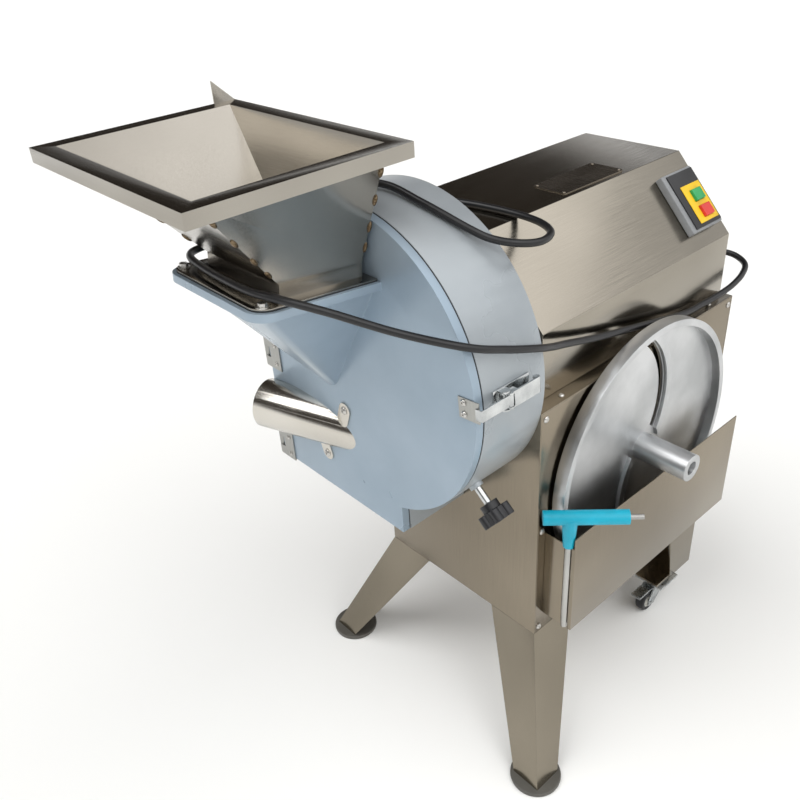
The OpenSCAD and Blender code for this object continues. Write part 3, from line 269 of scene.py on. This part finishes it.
def brushed_steel(name, dark, light, roughness, streak_mm, along):
    """Brushed stainless sheet: fine streaks along one axis over broad, cloudy changes of sheen."""
    material, tree, shader = blank_material(name)
    place = surface_place(tree)
    across = 1 / (streak_mm * MM)
    scale = [across / 60 if axis == along else across for axis in "xyz"]
    lines = add(tree, "Mapping", {"Vector": place, "Scale": scale}).outputs["Vector"]
    streak = noise(tree, lines, 1.0, 2.0, 0.6)
    cloud = noise(tree, place, 3.2, 2.0, 0.45)
    faint = add(tree, "Math", {0: streak, 1: 0.35}, operation="MULTIPLY").outputs[0]
    both = add(tree, "Math", {0: cloud, 1: faint}, operation="ADD").outputs[0]
    feed(tree, shader, {
        "Base Color": tint(tree, both, 0.45, linear(dark), 0.9, linear(light)),
        "Roughness": remap(tree, streak, roughness - 0.05, roughness + 0.05, 0.3, 0.7),
        "Normal": bumps(tree, streak, 0.12, 0.0002),
        "Metallic": 1.0,
        "Anisotropic": 0.4})
    return material


def plated(name, dark, light, roughness):
    """Bright plated metal: a clear reflection clouded by a faint spangle."""
    material, tree, shader = blank_material(name)
    place = surface_place(tree)
    spangle = add(tree, "TexVoronoi", {"Vector": place, "Scale": 160.0}, feature="F1").outputs["Distance"]
    haze = noise(tree, place, 40.0, 3.0)
    feed(tree, shader, {
        "Base Color": tint(tree, haze, 0.3, linear(dark), 0.75, linear(light)),
        "Roughness": remap(tree, spangle, roughness - 0.05, roughness + 0.12),
        "Metallic": 1.0})
    return material


def cast_paint(name, dark, light, roughness):
    """Satin paint on a casting: a soft orange peel with slight clouding and small rubbed places."""
    material, tree, shader = blank_material(name)
    place = surface_place(tree)
    cloud = noise(tree, place, 5.0, 4.0, 0.55)
    peel = noise(tree, place, 260.0, 2.0)
    feed(tree, shader, {
        "Base Color": tint(tree, cloud, 0.3, linear(dark), 0.7, linear(light)),
        "Roughness": remap(tree, cloud, roughness - 0.06, roughness + 0.08, 0.3, 0.7),
        "Normal": bumps(tree, peel, 0.06, 0.0004),
        "Metallic": 0.25})
    return material


def moulded(name, colour, roughness):
    """Moulded coloured plastic with a faint spark eroded grain, darker where it is worn."""
    material, tree, shader = blank_material(name)
    place = surface_place(tree)
    grain = noise(tree, place, 900.0, 2.0)
    wear = noise(tree, place, 30.0, 4.0)
    feed(tree, shader, {
        "Base Color": tint(tree, wear, 0.3, linear(colour, 0.82), 0.65, linear(colour)),
        "Roughness": roughness,
        "Normal": bumps(tree, grain, 0.08, 0.0002)})
    return material


def turned_aluminium(name, dark, light, centre, ring_mm):
    """Turned aluminium: fine rings about the X axis through centre over a cloudy cast skin."""
    material, tree, shader = blank_material(name)
    place = surface_place(tree)
    from_axis = add(tree, "Mapping", {"Vector": place, "Location": tuple(-c for c in centre)})
    rings = add(tree, "TexWave", {"Vector": from_axis.outputs["Vector"], "Scale": 0.314 / (ring_mm * MM),
                                  "Distortion": 0.6, "Detail": 2.0}, wave_type="RINGS", rings_direction="X")
    cloud = noise(tree, place, 9.0, 5.0)
    feed(tree, shader, {
        "Base Color": tint(tree, cloud, 0.3, linear(dark), 0.7, linear(light)),
        "Roughness": remap(tree, cloud, 0.3, 0.5),
        "Normal": bumps(tree, rings.outputs["Fac"], 0.12, 0.0002),
        "Metallic": 1.0})
    return material


# Power cord: three core lead in black rubber that leaves a gland on the hood's back, lies along the
# ledge, is wound once round the hopper's neck and ends in its plug on top of the hood.
CORD_MM = 11.0
CORD_STEPS = 8
CORD_ROUTE_MM = [
    (82, 556, 748), (82, 576, 748), (95, 607, 746), (126, 620, 742), (157, 607, 736), (170, 576, 729),
    (174, 535, 722), (173, 490, 718.5), (170, 440, 717), (170, 385, 721), (171, 252, 750), (172, 145, 774),
    (175, 60, 798), (182, 20, 812), (190, -26, 831), (185, -85, 852), (173, -140, 873), (113, -200, 896),
    (56, -263, 930), (14, -306, 951), (-38, -320, 953), (-150, -316, 951), (-212, -300, 949),
    (-233, -252, 945), (-236, -205, 945), (-236, -165, 952), (-226, -135, 967), (-198, -109, 983),
    (-152, -87, 1004.5), (-61, -67, 1019), (12, -60, 1006), (76, -36, 977), (104, -18, 963), (131, 8, 956),
    (141, 40, 952), (128, 74, 951), (92, 94, 951), (40, 100, 950.5), (-30, 93, 950.5), (-95, 74, 950.5)]


def smooth_route(points, steps):
    """Points along the smooth curve through the route, each stretch shaped by its neighbours."""
    line = []
    for i in range(len(points) - 1):
        a, b, c, d = (points[min(max(i + k, 0), len(points) - 1)] for k in (-1, 0, 1, 2))
        for s in range(steps):
            t = s / steps
            line.append(0.5 * (2 * b + (c - a) * t + (2 * a - 5 * b + 4 * c - d) * t ** 2
                               + (3 * b - a - 3 * c + d) * t ** 3))
    return line + [points[-1]]


def tube(name, line, radius):
    """A round, capped tube along a line of points."""
    curve = bpy.data.curves.new(name, "CURVE")
    curve.dimensions = "3D"
    curve.bevel_depth = radius
    curve.bevel_resolution = 4
    curve.use_fill_caps = True
    spline = curve.splines.new("POLY")
    spline.points.add(len(line) - 1)
    for point, place in zip(spline.points, line):
        point.co = (*place, 1.0)
    holder = bpy.data.objects.new(name, curve)
    bm = bmesh.new()
    bm.from_mesh(bpy.data.meshes.new_from_object(holder))
    bpy.data.objects.remove(holder)
    bmesh.ops.remove_doubles(bm, verts=bm.verts, dist=1e-5)
    bmesh.ops.recalc_face_normals(bm, faces=bm.faces)
    smooth(bm)
    return placed(name, bm)


cord_rubber = soft_black("cord_rubber", "#141416", 0.34, grain_mm=0.8)
cord_line = smooth_route([at(*p) for p in CORD_ROUTE_MM], CORD_STEPS)
cord = tube("power_lead", cord_line, CORD_MM * MM / 2)
cord.data.materials.append(cord_rubber)
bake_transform(cord)
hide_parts("power_cord")
dress("plug", cord_rubber)
dress("cable_gland", cord_rubber)


# Cabinet: folded stainless sheet, brushed along its length, with screwed side and rear panels.
SHEET_EDGE = 0.0009
SCREW_EDGE = 0.0004
sheet_steel = brushed_steel("brushed_stainless_sheet", "#7d7466", "#978d7d", 0.2, 1.2, along="z")
for node in ("cabinet_body", "side_panel", "disc_pocket"):
    soften(node, sheet_steel, SHEET_EDGE)
dress("rear_panel", sheet_steel)
# The hood takes a lighter copy of the cabinet's stainless: the extra lightness is painted light, standing
# for the brighter light that falls on the hood's faces, not a different steel.
painted_lighter_hood_steel = brushed_steel("brushed_steel_painted_lighter_for_hood", "#908a7f", "#aaa397", 0.2, 1.2, along="y")
soften("hood", painted_lighter_hood_steel, SHEET_EDGE)
screw_steel = brushed_steel("turned_screw_steel", "#b4b2ae", "#d8d6d2", 0.28, 0.8, along="z")
soften("panel_screws", screw_steel, SCREW_EDGE)


# Rating plate: a bare steel plate with rounded corners on the hood's top, held by four dome rivets.
PLATE_MM = (66.0, 156.0, 1.2)
PLATE_MIDDLE_MM = (0.0, 302.0)
PLATE_CORNER_MM = 6.0
PLATE_EDGE_MM = 0.3
RIVET_R_MM = 2.6
RIVET_INSET_MM = 6.0
RIVET_FLATTENED = Matrix.Diagonal((1, 1, 0.5, 1))

plate_foot = at(*PLATE_MIDDLE_MM, 0) + Vector((0, 0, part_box("hood")[1].z))
bm = bmesh.new()
bmesh.ops.create_cube(bm, size=1.0)
bmesh.ops.scale(bm, vec=[size * MM for size in PLATE_MM], verts=bm.verts)
bmesh.ops.translate(bm, vec=(0, 0, PLATE_MM[2] * MM / 2), verts=bm.verts)
corners = [e for e in bm.edges if e.verts[0].co.xy == e.verts[1].co.xy]
bmesh.ops.bevel(bm, geom=corners, offset=PLATE_CORNER_MM * MM, affect="EDGES", segments=6, profile=0.5,
                material=-1)
top_edges = [e for e in bm.edges if min(v.co.z for v in e.verts) > PLATE_MM[2] * MM / 2]
bmesh.ops.bevel(bm, geom=top_edges, offset=PLATE_EDGE_MM * MM, affect="EDGES", segments=2, profile=0.5,
                material=-1)
for i in (-1, 1):
    for j in (-1, 1):
        spot = Vector((i * (PLATE_MM[0] / 2 - RIVET_INSET_MM), j * (PLATE_MM[1] / 2 - RIVET_INSET_MM),
                       PLATE_MM[2])) * MM
        bmesh.ops.create_uvsphere(bm, u_segments=20, v_segments=10, radius=RIVET_R_MM * MM,
                                  matrix=Matrix.Translation(spot) @ RIVET_FLATTENED)
bmesh.ops.translate(bm, vec=plate_foot, verts=bm.verts)
plate_steel = brushed_steel("brushed_plate_steel", "#8d8478", "#a79d8f", 0.26, 0.9, along="x")
made("rating_plate", bm, plate_steel, "frame")


# Legs: folded and tapered stainless angle, splayed in front on rubber pads and upright behind,
# brushed down their length.
LEG_EDGE = 0.0018
PAD_EDGE = 0.002
leg_steel = brushed_steel("brushed_leg_steel", "#7a7366", "#958d7f", 0.22, 1.2, along="z")
for node in ("front_legs", "rear_legs"):
    soften(node, leg_steel, LEG_EDGE, segments=4)
soften("foot_pads", soft_black("grey_foot_rubber", "#4b4944", 0.42, grain_mm=1.5), PAD_EDGE)


# Casters: zinc plated pressings with a hard black tyre on a pale nylon hub, and a ribbed brake pedal.
# Tyre and hub are turned from half outlines of radius and place along the axle, in millimetres.
PRESSED_EDGE = 0.0006
PEDAL_EDGE = 0.0005
TYRE_OUTLINE_MM = [(16, -9), (19, -10), (22, -10), (24.2, -8.4), (25, -6)]
HUB_OUTLINE_MM = [(4.1, -11), (8, -11), (9, -10), (9.5, -7), (14, -6.5), (15, -8.6), (16.2, -8.8)]
TYRE_STEPS = 64
HUB_STEPS = 48
TURNED_SHARP_DEG = 35
AXLE_WAY = Vector((1, 0, 0))


def turned_ring(half_outline, centre, steps):
    """A ring about an axle through centre, from half of its outline and the mirrored other half."""
    outline = half_outline + [(r, -h) for r, h in reversed(half_outline)] + half_outline[:1]
    bm = bmesh.new()
    verts = [bm.verts.new((r * MM, 0, h * MM)) for r, h in outline]
    edges = [bm.edges.new(pair) for pair in zip(verts, verts[1:])]
    bmesh.ops.spin(bm, geom=verts + edges, cent=(0, 0, 0), axis=(0, 0, 1), angle=math.tau, steps=steps,
                   use_merge=True)
    bmesh.ops.remove_doubles(bm, verts=bm.verts, dist=1e-6)
    bmesh.ops.recalc_face_normals(bm, faces=bm.faces)
    smooth(bm)
    place = Matrix.Translation(centre) @ AXLE_WAY.to_track_quat("Z", "Y").to_matrix().to_4x4()
    bmesh.ops.transform(bm, matrix=place, verts=bm.verts)
    return bm


zinc = plated("zinc_plate", "#9da1a3", "#d2d5d6", 0.25)
soften("caster_plates", zinc, PRESSED_EDGE)
for side in SIDES:
    soften(side + "_fork", zinc, PRESSED_EDGE)
    soften(side + "_pedal", zinc, PEDAL_EDGE)
tyre_rubber = soft_black("hard_tyre", "#1b1b1d", 0.5, grain_mm=1.0)
hub_nylon, tree, shader = blank_material("caster_nylon")
scuff = noise(tree, surface_place(tree), 90.0, 4.0)
feed(tree, shader, {
    "Base Color": tint(tree, scuff, 0.0, linear("#b9b7b0"), 1.0, linear("#e4e3dd")),
    "Roughness": 0.45})
for side in SIDES:
    wheel = side + "_wheel"
    low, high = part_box(wheel)
    for name, half_outline, steps, material in (("_tyre", TYRE_OUTLINE_MM, TYRE_STEPS, tyre_rubber),
                                                ("_hub", HUB_OUTLINE_MM, HUB_STEPS, hub_nylon)):
        ring = turned_ring(half_outline, (low + high) / 2, steps)
        piece = made(side + name, ring, material, body_of[wheel])
        piece.data.set_sharp_from_angle(angle=math.radians(TURNED_SHARP_DEG))
        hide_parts(wheel)


# Drum and cover: sand cast aluminium under smooth blue grey paint, with machined edges, a rubber seal
# between them and the feed throat cast in one with the cover.
COVER_EDGE = 0.0022
DRUM_EDGE = 0.0015
cover_paint = cast_paint("blue_grey_casting_paint", "#8fa1b0", "#a2b2c0", 0.3)
drum_paint = cast_paint("grey_casting_paint", "#9aa1a6", "#aeb4b8", 0.3)
soften("front_cover", cover_paint, COVER_EDGE, segments=4, limit=28)
soften("drum_housing", drum_paint, DRUM_EDGE, limit=40)
seal_rubber = soft_black("seal_rubber", "#2b2b2d", 0.65, grain_mm=1.0)
dress("cover_seal", seal_rubber)


# Hopper: stainless sheet folded and welded at its corners, on a gasket and a bolted base plate.
hopper_steel = brushed_steel("brushed_hopper_steel", "#928d85", "#aea9a0", 0.2, 1.2, along="x")
soften("hopper", hopper_steel, SHEET_EDGE)
dress("hopper_gasket", seal_rubber)
soften("cover_bolts", screw_steel, SCREW_EDGE)


# Weld beads: short runs of heat tinted weld that hold the hopper's folded walls at their four corners.
NECK_X_MM, MOUTH_X_MM = (-189.8, -16.2), (-317.8, 38.8)
NECK_YZ_MM, MOUTH_Y_MM = ((-284.7, 954.3), (-149.4, 940.1)), (-410.8, -136.2)
MOUTH_Z_MM = 1106.8
WELD_PLACES = (0.14, 0.32, 0.55, 0.78)
WELD_SIZE_MM = (3.2, 3.2, 8.5)

weld_metal, tree, shader = blank_material("heat_tinted_weld")
ripple = noise(tree, surface_place(tree), 420.0, 3.0)
feed(tree, shader, {
    "Base Color": tint(tree, ripple, 0.35, linear("#4b3a28"), 0.7, linear("#94836a")),
    "Roughness": 0.38,
    "Normal": bumps(tree, ripple, 0.5, 0.0006),
    "Metallic": 1.0})
bm = bmesh.new()
for neck_x, mouth_x in zip(NECK_X_MM, MOUTH_X_MM):
    for (neck_y, neck_z), mouth_y in zip(NECK_YZ_MM, MOUTH_Y_MM):
        foot, head = at(neck_x, neck_y, neck_z), at(mouth_x, mouth_y, MOUTH_Z_MM)
        lean = (head - foot).to_track_quat("Z", "Y").to_matrix().to_4x4()
        for share in WELD_PLACES:
            bead = Matrix.Translation(foot.lerp(head, share)) @ lean @ Matrix.Diagonal((*WELD_SIZE_MM, 1))
            bmesh.ops.create_icosphere(bm, subdivisions=3, radius=MM, matrix=bead)
smooth(bm)
made("hopper_welds", bm, weld_metal, "door")


# Guard, hinges and toggle latch: bent and pressed steel, polished or zinc plated, screwed on.
GUARD_EDGE = 0.0005
FITTING_EDGE = 0.0004
guard_steel = brushed_steel("polished_tube_steel", "#b9b4ab", "#dcd8d0", 0.2, 1.0, along="x")
soften("shaft_guard", guard_steel, GUARD_EDGE)
hinge_steel = brushed_steel("hinge_steel", "#8f8f8c", "#b8b8b4", 0.32, 0.8, along="z")
for node in ("cover_hinges", "drum_hinges", "latch_keeper"):
    soften(node, hinge_steel, FITTING_EDGE)
chrome = plated("latch_chrome", "#b2b5b6", "#dfe1e1", 0.16)
for node in ("latch_base", "latch_lever", "latch_hook"):
    soften(node, chrome, FITTING_EDGE)


# Gate knob: moulded black star knob on a plated screw in the drum's side.
KNOB_EDGE = 0.0022
GATE_SCREW_EDGE = 0.0005
soften("gate_knob", soft_black("star_knob_plastic", "#17171a", 0.36, grain_mm=0.7), KNOB_EDGE, segments=4)
soften("gate_screw", chrome, GATE_SCREW_EDGE)


# Switch: grey box screwed on the hood's slope, black face, bare yellow plate and two moulded keys.
BOX_EDGE = 0.002
FACE_EDGE = 0.0008
YELLOW_PLATE_EDGE = 0.0004
BUTTON_EDGE = 0.0016
soften("switch_box", moulded("grey_switch_plastic", "#8f9193", 0.5), BOX_EDGE)
soften("switch_face", soft_black("black_switch_plastic", "#1d1d1f", 0.45, grain_mm=0.6), FACE_EDGE)
soften("switch_plate", moulded("yellow_switch_plate", "#f3c613", 0.45), YELLOW_PLATE_EDGE)
soften("start_button", moulded("green_button_plastic", "#2ba35a", 0.35), BUTTON_EDGE)
soften("stop_button", moulded("red_button_plastic", "#d8382f", 0.35), BUTTON_EDGE)


# Spare disc: cast aluminium slicing disc, turned on its rim and hub and left bright, in its pocket.
DISC_EDGE = 0.0012
low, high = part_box("spare_disc")
disc_metal = turned_aluminium("turned_disc_aluminium", "#b3b5b6", "#d9dadb", (low + high) / 2, ring_mm=3.0)
soften("spare_disc", disc_metal, DISC_EDGE)


# Hexagon key: bright steel bar in a moulded turquoise handle, hung in a slot of the pocket.
KEY_EDGE = 0.0003
GRIP_EDGE = 0.004
key_steel = brushed_steel("key_steel", "#9d9c99", "#c9c8c5", 0.25, 0.8, along="z")
soften("hex_key", key_steel, KEY_EDGE)
soften("key_handle", moulded("turquoise_grip_plastic", "#00aecb", 0.42), GRIP_EDGE, segments=5)


# Cutting gear and drive: machined steel, bronze bushings and painted castings behind the cover.
blade_steel = brushed_steel("ground_blade_steel", "#a6a8aa", "#cfd1d2", 0.25, 0.8, along="x")
for node in ("slicing_knife", "slice_gate", "strip_knives", "cross_cutter", "strip_shaft", "cross_shaft",
             "spindle", "main_gear", "idler_gear", "main_pulley", "motor_pulley", "spindle_bearings"):
    dress(node, blade_steel)
dress("impeller", disc_metal)
dress("knife_bushings", plated("bushing_bronze", "#8f6f3c", "#b8935a", 0.35))
machine_paint = cast_paint("dark_machine_paint", "#434d57", "#55606b", 0.42)
for node in ("bearing_stand", "bearing_housing", "motor"):
    dress(node, machine_paint)
dress("v_belts", seal_rubber)
